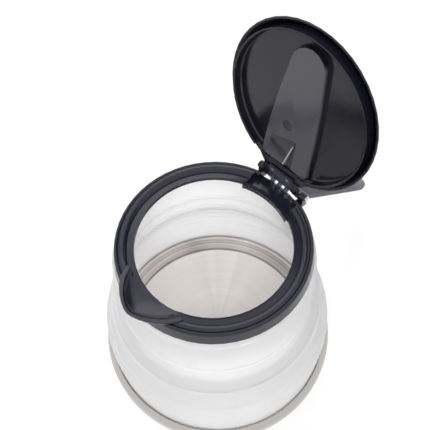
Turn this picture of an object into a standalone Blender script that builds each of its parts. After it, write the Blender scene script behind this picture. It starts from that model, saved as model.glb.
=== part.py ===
"""Collapsible stovetop kettle: steel base pan, folding silicone body, collar with
spout, hinged lid with a handle groove, and a folding handle on the same pin.

Frame: metres, +Z up, origin at the centre of the resting face. The spout points
to -X and the hinge and handle are at +X. The kettle is drawn extended, with the
lid open and the handle down in its position of use.
"""
import math

import bmesh
import bpy
from mathutils import Matrix, Vector

MM = 0.001

# Overall
COLLAR_TOP_HEIGHT = 144.0 * MM
RUNNING_GAP = 0.35 * MM
SEAT_GAP = 0.3 * MM
CUT_OVERRUN = 3.0 * MM
ROUND_FACETS = 44
COLLAR_FACETS = 56
SMALL_FACETS = 16
SHARP_ANGLE = math.radians(35)

# Base
COVER_RADIUS = 66.0 * MM
COVER_SHEET = 0.6 * MM
COVER_HEIGHT = 3.2 * MM
COVER_CORNER = 1.6 * MM
SPREADER_THICKNESS = 3.0 * MM
PAN_SHEET = 0.8 * MM
PAN_PLATE_RADIUS = 70.0 * MM
PAN_STEP_WIDTH = 3.5 * MM
PAN_STEP_HEIGHT = 2.2 * MM
PAN_TIER_WIDTH = 6.7 * MM
PAN_WALL_RISE = 1.8 * MM
PAN_FLANGE_WIDTH = 4.4 * MM
RING_STAND_OUT = 3.0 * MM
RING_SHEET = 0.9 * MM
RING_TOP_RISE = 4.4 * MM
RING_FOOT_CLEARANCE = 1.2 * MM
RING_LIP_OVERLAP = 2.0 * MM
RING_ROLL = 1.7 * MM

# Silicone body, radii outside and depths below the collar top
BODY_WALL = 1.9 * MM
BODY_TOP_DEPTH = 7.6 * MM
BODY_TOP_RADIUS = 59.1 * MM
BODY_NECK_DEPTH = 9.6 * MM
BODY_STEP_RADIUS = 63.0 * MM
BODY_STEP_DEPTH = 13.7 * MM
BODY_CREASE_CUT = 1.1 * MM
BODY_CREASE_HALF = 1.3 * MM
CREASE_1_RADIUS = 65.2 * MM
CREASE_1_DEPTH = 47.0 * MM
SHOULDER_RADIUS = 66.6 * MM
SHOULDER_DEPTH = 63.0 * MM
CREASE_2_RADIUS = 73.6 * MM
CREASE_2_DEPTH = 72.5 * MM
CREASE_3_RADIUS = 78.8 * MM
CREASE_3_DEPTH = 86.5 * MM
BULGE_RADIUS = 82.0 * MM
BULGE_DEPTH = 108.0 * MM
BODY_BEAD_DEPTH = 2.2 * MM

# Collar
COLLAR_TOP_RADIUS = 60.0 * MM
COLLAR_SKIRT_RADIUS = 61.4 * MM
COLLAR_HEIGHT = 8.6 * MM
COLLAR_EDGE_ROUND = 1.8 * MM
COLLAR_SKIRT_WALL = 2.0 * MM
GROOVE_OUTER_RADIUS = 58.0 * MM
GROOVE_WIDTH = 0.9 * MM
GROOVE_DEPTH = 0.9 * MM
RIDGE_WIDTH = 2.8 * MM
SEAT_OUTER_RADIUS = 52.4 * MM
MOUTH_RADIUS = 48.2 * MM
LIP_WIDTH = 0.5 * MM
LIP_DEPTH = 2.3 * MM
COLLAR_DECK = 2.2 * MM
RETAINER_HEIGHT = 5.0 * MM
RETAINER_WALL = 1.6 * MM

# Spout
SPOUT_REACH = 67.3 * MM
SPOUT_ROOT_RADIUS = 47.0 * MM
SPOUT_HALF_WIDTH = 24.4 * MM
SPOUT_FOOT_HALF_WIDTH = 15.0 * MM
SPOUT_RISE = 3.2 * MM
SPOUT_LIP = 1.3 * MM
TROUGH_DEPTH = 4.0 * MM
TROUGH_REACH_SHARES = (1.0, 0.94, 0.8, 0.52, 0.16)
TROUGH_WIDTH_SHARES = (1.0, 0.97, 0.88, 0.7, 0.42)
TROUGH_DEPTH_SHARES = (-1.0, 0.0, 0.5, 0.85, 1.0)

# Hinge
PIVOT_RADIUS = 61.0 * MM
PIVOT_RISE = 1.0 * MM
PIN_RADIUS = 1.5 * MM
PIN_HEAD_RADIUS = 2.0 * MM
PIN_HEAD_LENGTH = 1.2 * MM
CHEEK_INNER = 14.6 * MM
CHEEK_WIDTH = 4.2 * MM
CHEEK_RADIUS = 2.6 * MM
CHEEK_DROP = 7.0 * MM
CHEEK_FOOT_SHARE = 0.8
RECESS_DEPTH = 6.6 * MM
RECESS_START = 54.0 * MM
BLOCK_INNER_RADIUS = 47.0 * MM
BLOCK_LIP_WIDTH = 2.2 * MM
BLOCK_LIP_RISE = 2.0 * MM
BLOCK_HALF_WIDTH = 18.4 * MM
BLOCK_TOP_DEPTH = 5.3 * MM
BLOCK_HEIGHT = 1.9 * MM

# Lid, drawn closed: heights are above the collar top
LID_OPEN_ANGLE = math.radians(98.5)
LID_RADIUS = 50.4 * MM
LID_RIM_LEVEL = -2.6 * MM
LID_DOME_LEVEL = 8.4 * MM
LID_RADIUS_SHARES = (0.33, 0.62, 0.8, 0.89, 0.94, 0.975, 1.0)
LID_HEIGHT_SHARES = (0.97, 0.87, 0.68, 0.5, 0.33, 0.15, 0.07)
LID_WALL = 1.0 * MM
SKIRT_RADIUS = 46.4 * MM
SKIRT_LEVEL = -6.4 * MM
SKIRT_WALL = 1.2 * MM
SKIRT_NOTCH_HALF_WIDTH = 22.0 * MM
PANEL_LEVEL = -0.8 * MM
PANEL_THICKNESS = 1.2 * MM
HUMP_LEVEL = -4.4 * MM
HUMP_ROOT = 41.6 * MM
HUMP_FRONT = -39.0 * MM
HUMP_FACE_ROOT_HALF_WIDTH = 17.0 * MM
HUMP_FACE_FRONT_HALF_WIDTH = 11.0 * MM
HUMP_FOOT_ROOT_HALF_WIDTH = 20.4 * MM
HUMP_FOOT_FRONT_HALF_WIDTH = 14.6 * MM
HUMP_FOOT_FRONT = -42.4 * MM
HUMP_WALL = 1.2 * MM
GROOVE_UPPER_DRAFT = 0.6 * MM
NOTCH_LEVEL = 2.0 * MM
PAD_FRONT = 20.0 * MM
PAD_BACK = 39.4 * MM
PAD_SIDE = 12.4 * MM
PAD_SLANT = 5.0 * MM
PAD_FRONT_RISE = 0.2 * MM
PAD_RISE = 2.4 * MM
VALLEY_WIDTH = 4.6 * MM
VALLEY_DEPTH = 0.5 * MM
GATE_MARK_RADIUS = 3.5 * MM
GATE_MARK_PLACE = 13.0 * MM
GATE_MARK_OFFSET = 3.4 * MM
GATE_MARK_DEPTH = 0.4 * MM
TONGUE_HALF_WIDTH = 20.0 * MM
TONGUE_ROOT = 49.9 * MM
TONGUE_END = 52.6 * MM
TONGUE_THICKNESS = 1.8 * MM
WING_START = 51.0 * MM
WING_END = 59.0 * MM
WING_INNER = 9.7 * MM
WING_OUTER = 14.1 * MM
WING_LOW = -3.7 * MM
WING_HIGH = -2.3 * MM
LEAF_START = 49.9 * MM
LEAF_END = 60.4 * MM
LEAF_HALF_WIDTH = 9.2 * MM
LEAF_THICKNESS = 1.4 * MM
SLOT_HALF_LENGTH = 7.3 * MM
SLOT_WIDTH = 1.6 * MM
SLOT_PLACE = 55.8 * MM
RIB_SPACING = 5.5 * MM
RIB_THICKNESS = 1.3 * MM
RIB_COUNT = 3
RIB_ROOT = -5.0 * MM
RIB_DROP = 5.6 * MM
RIB_TAIL = 4.6 * MM
RIB_TAIL_DROP = 4.9 * MM
RIB_TIP = 5.6 * MM
RIB_TIP_DROP = 2.6 * MM
KNUCKLE_RADIUS = 2.8 * MM
LEAF_SCREW_SPACING = 6.0 * MM
LEAF_SCREW_PLACE = 51.3 * MM
LEAF_SCREW_RADIUS = 0.7 * MM
LEAF_SCREW_HEAD_RADIUS = 1.1 * MM
LEAF_SCREW_HEAD_HEIGHT = 0.4 * MM

# Handle, drawn level along +X from the pivot, heights from the pivot
HANDLE_SLOPE = math.radians(42.5)
HANDLE_LENGTH = 146.0 * MM
HANDLE_START = 18.4 * MM
HANDLE_ROOT_HALF_WIDTH = 13.4 * MM
HANDLE_TIP_HALF_WIDTH = 12.2 * MM
HANDLE_TIP_ROUND = 24.0 * MM
HANDLE_FACE_DROP = 2.0 * MM
HANDLE_THICKNESS = 4.6 * MM
HANDLE_EDGE_ROUND = 1.3 * MM
HANDLE_WALL = 1.2 * MM
ARM_INNER = 9.8 * MM
ARM_RADIUS = 2.9 * MM
ARM_REACH = 9.0 * MM
FRAME_BAR_START = 13.0 * MM
FRAME_THICKNESS = 1.4 * MM
FRAME_HALF_WIDTH = 8.4 * MM
FRAME_END_MARGIN = 16.0 * MM
SCREW_RADIUS = 1.3 * MM
SCREW_HEAD_RADIUS = 2.3 * MM
SCREW_HEAD_HEIGHT = 0.7 * MM
HANDLE_SCREW_SHARES = (0.23, 0.5, 0.77)


def material(name, colour, roughness, metallic=0.0):
    """A plain Principled material."""
    made = bpy.data.materials.new(name)
    made.use_nodes = True
    shader = made.node_tree.nodes["Principled BSDF"]
    shader.inputs["Base Color"].default_value = (*colour, 1.0)
    shader.inputs["Roughness"].default_value = roughness
    shader.inputs["Metallic"].default_value = metallic
    made.diffuse_color = (*colour, 1.0)
    return made


def clear_scene():
    """Take away everything the file starts with."""
    for thing in list(bpy.data.objects):
        bpy.data.objects.remove(thing, do_unlink=True)


def node(name, form, look, parent=None):
    """Turn a bmesh into a named, shaded object."""
    bmesh.ops.recalc_face_normals(form, faces=form.faces)
    mesh = bpy.data.meshes.new(name)
    form.to_mesh(mesh)
    form.free()
    mesh.shade_smooth()
    mesh.set_sharp_from_angle(angle=SHARP_ANGLE)
    mesh.materials.append(look)
    thing = bpy.data.objects.new(name, mesh)
    bpy.context.scene.collection.objects.link(thing)
    thing.parent = parent
    return thing


def pivot_empty(name, turn):
    """An empty on the hinge axis that carries a moving group."""
    empty = bpy.data.objects.new(name, None)
    bpy.context.scene.collection.objects.link(empty)
    empty.location = (PIVOT_RADIUS, 0.0, COLLAR_TOP_HEIGHT + PIVOT_RISE)
    empty.rotation_euler = (0.0, turn, 0.0)
    return empty


def arc(centre, radius, first, last, steps):
    """Points on an arc in the radius-height plane, angles in degrees."""
    points = []
    for step in range(steps + 1):
        angle = math.radians(first + (last - first) * step / steps)
        points.append((centre[0] + radius * math.cos(angle), centre[1] + radius * math.sin(angle)))
    return points


def smooth_line(points, steps):
    """A smooth curve through the given points."""
    padded = [points[0]] + list(points) + [points[-1]]
    line = []
    for index in range(1, len(padded) - 2):
        before, start, end, after = (Vector(p) for p in padded[index - 1:index + 3])
        for step in range(steps):
            t = step / steps
            blend = (
                start * 2
                + (end - before) * t
                + (before * 2 - start * 5 + end * 4 - after) * t ** 2
                + (start * 3 - before - end * 3 + after) * t ** 3
            )
            line.append(tuple(blend / 2))
    line.append(tuple(points[-1]))
    return line


def turned(outline, facets=ROUND_FACETS):
    """A solid of revolution about Z from a closed outline of radius and height."""
    form = bmesh.new()
    corners = [form.verts.new((radius, 0.0, height)) for radius, height in outline]
    edges = []
    for index, corner in enumerate(corners):
        following = corners[(index + 1) % len(corners)]
        if corner.co.x > 0.0 or following.co.x > 0.0:
            edges.append(form.edges.new((corner, following)))
    bmesh.ops.spin(
        form, geom=corners + edges, cent=(0.0, 0.0, 0.0), axis=(0.0, 0.0, 1.0),
        angle=math.tau, steps=facets, use_merge=True, use_duplicate=False,
    )
    bmesh.ops.remove_doubles(form, verts=form.verts, dist=RUNNING_GAP / 100)
    return form


def prism(outline, low, high):
    """An upright prism on a plan outline."""
    form = bmesh.new()
    face = form.faces.new([form.verts.new((x, y, low)) for x, y in outline])
    grown = bmesh.ops.extrude_face_region(form, geom=[face])
    tops = [item for item in grown["geom"] if isinstance(item, bmesh.types.BMVert)]
    bmesh.ops.translate(form, verts=tops, vec=(0.0, 0.0, high - low))
    bmesh.ops.recalc_face_normals(form, faces=form.faces)
    return form


def loft(rings):
    """A solid through rings that hold the same number of points."""
    form = bmesh.new()
    levels = [[form.verts.new(point) for point in ring] for ring in rings]
    for lower, upper in zip(levels, levels[1:]):
        for index in range(len(lower)):
            following = (index + 1) % len(lower)
            form.faces.new((lower[index], lower[following], upper[following], upper[index]))
    form.faces.new(list(reversed(levels[0])))
    form.faces.new(levels[-1])
    bmesh.ops.recalc_face_normals(form, faces=form.faces)
    return form


def box(low, high):
    """A box between two corners."""
    form = bmesh.new()
    made = bmesh.ops.create_cube(form, size=1.0)
    size = [high[k] - low[k] for k in range(3)]
    middle = [(high[k] + low[k]) / 2 for k in range(3)]
    bmesh.ops.scale(form, verts=made["verts"], vec=size)
    bmesh.ops.translate(form, verts=made["verts"], vec=middle)
    return form


def rod(centre, radius, length, facets=SMALL_FACETS, top_radius=None):
    """A round rod along Y, or a cone where the second radius differs."""
    form = bmesh.new()
    bmesh.ops.create_cone(
        form, cap_ends=True, segments=facets, radius1=radius,
        radius2=radius if top_radius is None else top_radius, depth=length,
        matrix=Matrix.Translation(centre) @ Matrix.Rotation(math.pi / 2, 4, "X"),
    )
    return form


def upright(centre, radius, low, high, facets=SMALL_FACETS):
    """A round post along Z between two heights."""
    form = bmesh.new()
    bmesh.ops.create_cone(
        form, cap_ends=True, segments=facets, radius1=radius, radius2=radius, depth=high - low,
        matrix=Matrix.Translation((centre[0], centre[1], (low + high) / 2)),
    )
    return form


def combined(form, tool, operation):
    """One bmesh cut from, or joined with, another."""
    things = []
    for name, item in (("stock", form), ("tool", tool)):
        mesh = bpy.data.meshes.new(name)
        bmesh.ops.recalc_face_normals(item, faces=item.faces)
        item.to_mesh(mesh)
        item.free()
        thing = bpy.data.objects.new(name, mesh)
        bpy.context.scene.collection.objects.link(thing)
        things.append(thing)
    step = things[0].modifiers.new("step", "BOOLEAN")
    step.operation = operation
    step.solver = "EXACT"
    step.object = things[1]
    graph = bpy.context.evaluated_depsgraph_get()
    result = bmesh.new()
    result.from_object(things[0], graph)
    for thing in things:
        mesh = thing.data
        bpy.data.objects.remove(thing, do_unlink=True)
        bpy.data.meshes.remove(mesh)
    bmesh.ops.remove_doubles(result, verts=result.verts, dist=RUNNING_GAP / 100)
    bmesh.ops.dissolve_degenerate(result, edges=result.edges, dist=RUNNING_GAP / 100)
    return result


def cut(form, tool):
    return combined(form, tool, "DIFFERENCE")


def joined(form, tool):
    return combined(form, tool, "UNION")


# Radii and heights shared by the base pieces
PAN_STEP_RADIUS = PAN_PLATE_RADIUS + PAN_STEP_WIDTH
PAN_WALL_RADIUS = PAN_STEP_RADIUS + PAN_TIER_WIDTH
PAN_FLANGE_RADIUS = PAN_WALL_RADIUS + PAN_FLANGE_WIDTH
RING_OUTER_RADIUS = PAN_FLANGE_RADIUS + RING_STAND_OUT
RING_LIP_RADIUS = PAN_FLANGE_RADIUS - RING_LIP_OVERLAP
SPREADER_LOW = COVER_SHEET + SEAT_GAP
PLATE_UNDERSIDE = SPREADER_LOW + SPREADER_THICKNESS + SEAT_GAP
PLATE_TOP = PLATE_UNDERSIDE + PAN_SHEET
FLANGE_TOP = PLATE_TOP + PAN_STEP_HEIGHT + PAN_WALL_RISE
BODY_FOOT = FLANGE_TOP + SEAT_GAP


def base_cover(look):
    """The pressed steel cup that wraps the heat spreader under the base."""
    inner_corner = COVER_CORNER - COVER_SHEET
    outline = [(0.0, 0.0)]
    outline += arc((COVER_RADIUS - COVER_CORNER, COVER_CORNER), COVER_CORNER, -90, 0, 4)
    outline += [(COVER_RADIUS, COVER_HEIGHT), (COVER_RADIUS - COVER_SHEET, COVER_HEIGHT)]
    outline += arc((COVER_RADIUS - COVER_CORNER, COVER_CORNER), inner_corner, 0, -90, 4)
    outline += [(0.0, COVER_SHEET)]
    return node("base_disc_cover", turned(outline), look)


def heat_spreader(look):
    """The aluminium disc between cover and pan."""
    radius = COVER_RADIUS - COVER_SHEET - SEAT_GAP
    low = SPREADER_LOW
    high = SPREADER_LOW + SPREADER_THICKNESS
    corner = COVER_CORNER
    outline = [(0.0, low), (radius - corner, low), (radius, low + corner), (radius, high), (0.0, high)]
    return node("heat_spreader_disc", turned(outline), look)


def base_pan(look):
    """The steel pan: flat plate, two pressed steps, and the flange that holds the body."""
    step_low = PLATE_TOP + PAN_STEP_HEIGHT
    middle = [
        (PAN_PLATE_RADIUS, PLATE_TOP),
        (PAN_PLATE_RADIUS + PAN_STEP_HEIGHT / 2, PLATE_TOP + PAN_STEP_HEIGHT / 5),
        (PAN_STEP_RADIUS, step_low - PAN_STEP_HEIGHT / 5),
        (PAN_STEP_RADIUS + PAN_STEP_HEIGHT / 2, step_low),
        (PAN_WALL_RADIUS - PAN_WALL_RISE, step_low + PAN_WALL_RISE / 5),
        (PAN_WALL_RADIUS, FLANGE_TOP - PAN_WALL_RISE / 5),
        (PAN_WALL_RADIUS + PAN_WALL_RISE / 2, FLANGE_TOP),
        (PAN_FLANGE_RADIUS, FLANGE_TOP),
    ]
    lower = [(radius, height - PAN_SHEET) for radius, height in reversed(middle)]
    outline = [(0.0, PLATE_TOP)] + middle + lower + [(0.0, PLATE_UNDERSIDE)]
    return node("base_pan", turned(outline), look)


def rim_ring(look):
    """The rolled steel ring that clamps the body's foot to the pan and stands clear below."""
    lip_top = BODY_FOOT + BODY_BEAD_DEPTH + SEAT_GAP + RING_SHEET
    outer = [
        (RING_LIP_RADIUS, lip_top),
        (RING_LIP_RADIUS + RING_SHEET, lip_top + RING_SHEET / 3),
        (RING_OUTER_RADIUS - RING_TOP_RISE / 2, lip_top - RING_SHEET / 2),
        (RING_OUTER_RADIUS - RING_SHEET / 2, lip_top - RING_TOP_RISE / 2),
        (RING_OUTER_RADIUS, FLANGE_TOP - RING_SHEET),
    ]
    foot = RING_FOOT_CLEARANCE + RING_ROLL
    outer += arc((RING_OUTER_RADIUS - RING_ROLL, foot), RING_ROLL, 0, -180, 4)
    inner = arc((RING_OUTER_RADIUS - RING_ROLL, foot), RING_ROLL - RING_SHEET, -180, 0, 4)
    inner += [(radius - RING_SHEET, height - RING_SHEET / 3) for radius, height in reversed(outer[2:5])]
    inner += [(RING_LIP_RADIUS, lip_top - RING_SHEET)]
    return node("base_rim_ring", turned(outer + inner), look)


def body_profile():
    """The outside of the silicone body from its top bead to its foot."""
    top = COLLAR_TOP_HEIGHT

    def crease(radius, depth):
        return [
            (radius - BODY_CREASE_CUT / 4, top - depth + BODY_CREASE_HALF),
            (radius - BODY_CREASE_CUT, top - depth),
            (radius + BODY_CREASE_CUT / 4, top - depth - BODY_CREASE_HALF),
        ]

    neck = [
        (BODY_TOP_RADIUS, top - BODY_TOP_DEPTH),
        (BODY_TOP_RADIUS, top - BODY_NECK_DEPTH),
        (BODY_STEP_RADIUS - BODY_WALL, top - BODY_STEP_DEPTH + BODY_WALL),
        (BODY_STEP_RADIUS, top - BODY_STEP_DEPTH),
    ]
    first = smooth_line([
        neck[-1],
        ((BODY_STEP_RADIUS + CREASE_1_RADIUS) / 2 + BODY_CREASE_CUT / 2,
         top - (BODY_STEP_DEPTH + CREASE_1_DEPTH) / 2),
        crease(CREASE_1_RADIUS, CREASE_1_DEPTH)[0],
    ], 1)
    second = smooth_line([
        crease(CREASE_1_RADIUS, CREASE_1_DEPTH)[2],
        (SHOULDER_RADIUS, top - SHOULDER_DEPTH),
        ((SHOULDER_RADIUS + CREASE_2_RADIUS * 2) / 3, top - (SHOULDER_DEPTH + CREASE_2_DEPTH * 2) / 3),
        crease(CREASE_2_RADIUS, CREASE_2_DEPTH)[0],
    ], 1)
    third = smooth_line([
        crease(CREASE_2_RADIUS, CREASE_2_DEPTH)[2],
        ((CREASE_2_RADIUS + CREASE_3_RADIUS) / 2 + BODY_CREASE_CUT / 2,
         top - (CREASE_2_DEPTH + CREASE_3_DEPTH) / 2),
        crease(CREASE_3_RADIUS, CREASE_3_DEPTH)[0],
    ], 1)
    last = smooth_line([
        crease(CREASE_3_RADIUS, CREASE_3_DEPTH)[2],
        (BULGE_RADIUS, top - BULGE_DEPTH),
        (RING_LIP_RADIUS - SEAT_GAP * 2, BODY_FOOT + BODY_BEAD_DEPTH + RING_SHEET * 2),
    ], 2)
    return (
        neck[:-1] + first + [crease(CREASE_1_RADIUS, CREASE_1_DEPTH)[1]]
        + second + [crease(CREASE_2_RADIUS, CREASE_2_DEPTH)[1]]
        + third + [crease(CREASE_3_RADIUS, CREASE_3_DEPTH)[1]] + last
    )


def inset_line(points, wall):
    """The same line moved inward by the wall, level with the original at both ends."""
    moved = []
    for index, point in enumerate(points):
        before = points[max(index - 1, 0)]
        after = points[min(index + 1, len(points) - 1)]
        along = Vector((after[0] - before[0], after[1] - before[1])).normalized()
        moved.append((point[0] + along.y * wall, point[1] - along.x * wall))
    moved[0] = (points[0][0] - wall, points[0][1])
    moved[-1] = (points[-1][0] - wall, points[-1][1])
    return moved


def silicone_body(look):
    """The folding silicone wall, with the bead that the rim ring clamps at its foot."""
    outside = body_profile()
    inside = inset_line(outside, BODY_WALL)
    bead_radius = PAN_FLANGE_RADIUS
    foot = [
        (RING_LIP_RADIUS - SEAT_GAP * 2, BODY_FOOT + BODY_BEAD_DEPTH),
        (bead_radius, BODY_FOOT + BODY_BEAD_DEPTH),
        (bead_radius, BODY_FOOT),
        (PAN_WALL_RADIUS + PAN_WALL_RISE / 4, BODY_FOOT),
    ]
    return node("silicone_body", turned(outside + foot + list(reversed(inside))), look)


def collar_outline():
    """Section of the collar ring, clockwise from the mouth lip."""
    top = COLLAR_TOP_HEIGHT
    bottom = top - COLLAR_HEIGHT
    seat = top + LID_RIM_LEVEL - SEAT_GAP
    deck = seat - COLLAR_DECK
    inner_wall = COLLAR_SKIRT_RADIUS - COLLAR_SKIRT_WALL
    ridge_inner = GROOVE_OUTER_RADIUS - GROOVE_WIDTH - RIDGE_WIDTH
    outline = [
        (MOUTH_RADIUS, top - LIP_DEPTH),
        (MOUTH_RADIUS + LIP_WIDTH, top - LIP_DEPTH),
        (MOUTH_RADIUS + LIP_WIDTH, seat),
        (SEAT_OUTER_RADIUS, seat),
        (SEAT_OUTER_RADIUS + GROOVE_DEPTH, top - GROOVE_DEPTH),
        (ridge_inner, top - GROOVE_DEPTH / 4),
        (ridge_inner + RIDGE_WIDTH / 2, top),
        (GROOVE_OUTER_RADIUS - GROOVE_WIDTH, top - GROOVE_DEPTH / 4),
        (GROOVE_OUTER_RADIUS - GROOVE_WIDTH / 2, top - GROOVE_DEPTH),
        (GROOVE_OUTER_RADIUS, top - GROOVE_DEPTH / 4),
    ]
    edge_centre = (COLLAR_TOP_RADIUS - COLLAR_EDGE_ROUND, top - COLLAR_EDGE_ROUND)
    outline += arc(edge_centre, COLLAR_EDGE_ROUND, 80, 0, 4)
    outline += [
        (COLLAR_SKIRT_RADIUS, bottom),
        (inner_wall, bottom),
        (inner_wall, deck),
        (MOUTH_RADIUS, deck),
    ]
    return outline


def spout_ring(root, reach, half_width, level, rise=0.0):
    """Plan of the spout at one level: round the tip from side to side."""
    points = []
    count = SMALL_FACETS
    for step in range(count + 1):
        angle = math.pi * step / count
        along = math.sin(angle) ** 1.3
        across = math.copysign(abs(math.cos(angle)) ** 1.3, math.cos(angle))
        points.append((-root - (reach - root) * along, half_width * across, level + rise * along))
    return points


def spout_trough():
    """The channel that is cut from the mouth to the tip of the spout, lowest at the mouth."""
    root = SPOUT_ROOT_RADIUS - CUT_OVERRUN
    reach = SPOUT_REACH - SPOUT_LIP - SPOUT_ROOT_RADIUS
    half_width = SPOUT_HALF_WIDTH - SPOUT_LIP
    rings = []
    for reach_share, width_share, depth_share in zip(
            TROUGH_REACH_SHARES, TROUGH_WIDTH_SHARES, TROUGH_DEPTH_SHARES):
        rings.append(spout_ring(
            root, SPOUT_ROOT_RADIUS + reach * reach_share, half_width * width_share,
            COLLAR_TOP_HEIGHT - TROUGH_DEPTH * depth_share,
        ))
    return loft(list(reversed(rings)))


def hinge_block(block_top):
    """The thick rear sector under the lid's tongue, with a raised lip at the mouth."""
    ring = turned([
        (BLOCK_INNER_RADIUS, block_top + BLOCK_LIP_RISE),
        (BLOCK_INNER_RADIUS + BLOCK_LIP_WIDTH, block_top + BLOCK_LIP_RISE),
        (BLOCK_INNER_RADIUS + BLOCK_LIP_WIDTH, block_top),
        (PIVOT_RADIUS - COLLAR_SKIRT_WALL, block_top),
        (PIVOT_RADIUS - COLLAR_SKIRT_WALL, block_top - BLOCK_HEIGHT),
        (BLOCK_INNER_RADIUS, block_top - BLOCK_HEIGHT),
    ], COLLAR_FACETS)
    sector = box(
        (BLOCK_INNER_RADIUS / 2, -BLOCK_HALF_WIDTH, block_top - BLOCK_HEIGHT - CUT_OVERRUN),
        (PIVOT_RADIUS, BLOCK_HALF_WIDTH, block_top + BLOCK_LIP_RISE + CUT_OVERRUN),
    )
    return combined(ring, sector, "INTERSECT")


def collar(look):
    """The moulded collar with its spout, lid seat, hinge block and recess."""
    top = COLLAR_TOP_HEIGHT
    bottom = top - COLLAR_HEIGHT
    deck = top + LID_RIM_LEVEL - SEAT_GAP - COLLAR_DECK
    form = turned(collar_outline(), COLLAR_FACETS)
    root = SPOUT_ROOT_RADIUS
    middle = (COLLAR_SKIRT_RADIUS + SPOUT_REACH) / 2
    beak = loft([
        spout_ring(root, COLLAR_SKIRT_RADIUS - SPOUT_LIP / 2, SPOUT_FOOT_HALF_WIDTH, bottom + SPOUT_LIP / 3),
        spout_ring(root, middle, (SPOUT_FOOT_HALF_WIDTH + SPOUT_HALF_WIDTH) / 2, bottom + COLLAR_HEIGHT / 2),
        spout_ring(root, SPOUT_REACH, SPOUT_HALF_WIDTH, top - SPOUT_LIP, SPOUT_RISE),
        spout_ring(root, SPOUT_REACH, SPOUT_HALF_WIDTH, top, SPOUT_RISE),
        spout_ring(root, SPOUT_REACH - SPOUT_LIP / 3, SPOUT_HALF_WIDTH - SPOUT_LIP / 3,
                   top + SPOUT_LIP / 3, SPOUT_RISE),
    ])
    beak = cut(beak, upright((0.0, 0.0), LID_RADIUS + RUNNING_GAP * 2, bottom - CUT_OVERRUN,
                             top + SPOUT_RISE + CUT_OVERRUN, COLLAR_FACETS))
    form = joined(form, beak)
    hollow_outer = COLLAR_SKIRT_RADIUS - COLLAR_SKIRT_WALL
    hollow = turned([
        (MOUTH_RADIUS - CUT_OVERRUN, bottom - CUT_OVERRUN), (hollow_outer, bottom - CUT_OVERRUN),
        (hollow_outer, deck), (MOUTH_RADIUS - CUT_OVERRUN, deck),
    ], COLLAR_FACETS)
    form = cut(form, hollow)
    form = cut(form, spout_trough())
    block_top = top - BLOCK_TOP_DEPTH
    seat_cut = box(
        (BLOCK_INNER_RADIUS - CUT_OVERRUN * 2, RUNNING_GAP * 2 - BLOCK_HALF_WIDTH, block_top),
        (RECESS_START + RUNNING_GAP, BLOCK_HALF_WIDTH - RUNNING_GAP * 2, top + CUT_OVERRUN),
    )
    form = cut(form, seat_cut)
    form = joined(form, hinge_block(block_top))
    for side in (-1, 1):
        low, high = sorted((side * CHEEK_INNER, side * (CHEEK_INNER + CHEEK_WIDTH)))
        cheek = joined(
            rod((PIVOT_RADIUS, (low + high) / 2, top + PIVOT_RISE), CHEEK_RADIUS, CHEEK_WIDTH),
            box((PIVOT_RADIUS - CHEEK_RADIUS, low, top - CHEEK_DROP),
                (PIVOT_RADIUS + CHEEK_RADIUS * CHEEK_FOOT_SHARE, high, top + PIVOT_RISE)),
        )
        form = joined(form, cheek)
    recess = box(
        (RECESS_START, -CHEEK_INNER, top - RECESS_DEPTH),
        (PIVOT_RADIUS + CHEEK_RADIUS + CUT_OVERRUN, CHEEK_INNER, top + CHEEK_RADIUS + CUT_OVERRUN),
    )
    form = cut(form, recess)
    bore_length = (CHEEK_INNER + CHEEK_WIDTH + CUT_OVERRUN) * 2
    bore = rod((PIVOT_RADIUS, 0.0, top + PIVOT_RISE), PIN_RADIUS + RUNNING_GAP, bore_length)
    form = cut(form, bore)
    return node("collar_rim", form, look)


def retaining_ring(look):
    """The inner ring that presses the body's top bead against the collar skirt."""
    high = COLLAR_TOP_HEIGHT - BLOCK_TOP_DEPTH - BLOCK_HEIGHT - SEAT_GAP
    low = high - RETAINER_HEIGHT
    outer = BODY_TOP_RADIUS - BODY_WALL - SEAT_GAP
    lip = outer - RETAINER_WALL
    outline = [
        (lip, low), (outer, low), (outer, high), (lip, high),
    ]
    return node("collar_retaining_ring", turned(outline), look)


def hinge_pin(look):
    """The steel pin that lid and handle share, headed at one end."""
    centre = (PIVOT_RADIUS, 0.0, COLLAR_TOP_HEIGHT + PIVOT_RISE)
    half = CHEEK_INNER + CHEEK_WIDTH + SEAT_GAP + PIN_HEAD_LENGTH
    form = rod(centre, PIN_RADIUS, half * 2)
    place = (centre[0], -half + PIN_HEAD_LENGTH / 2, centre[2])
    form = joined(form, rod(place, PIN_HEAD_RADIUS, PIN_HEAD_LENGTH))
    return node("hinge_pin", form, look)


def pin_clip(look):
    """The spring steel washer pressed on the plain end of the pin."""
    centre = (PIVOT_RADIUS, 0.0, COLLAR_TOP_HEIGHT + PIVOT_RISE)
    place = (centre[0], CHEEK_INNER + CHEEK_WIDTH + SEAT_GAP + PIN_HEAD_LENGTH / 2, centre[2])
    form = rod(place, PIN_HEAD_RADIUS + SEAT_GAP, PIN_HEAD_LENGTH / 2)
    form = cut(form, rod(place, PIN_RADIUS + SEAT_GAP, PIN_HEAD_LENGTH * 2))
    return node("pin_retaining_clip", form, look)


def shifted(form):
    """A lid form drawn about the kettle's axis, moved to the pivot's frame."""
    bmesh.ops.translate(form, verts=form.verts, vec=(-PIVOT_RADIUS, 0.0, -PIVOT_RISE))
    return form


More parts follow.
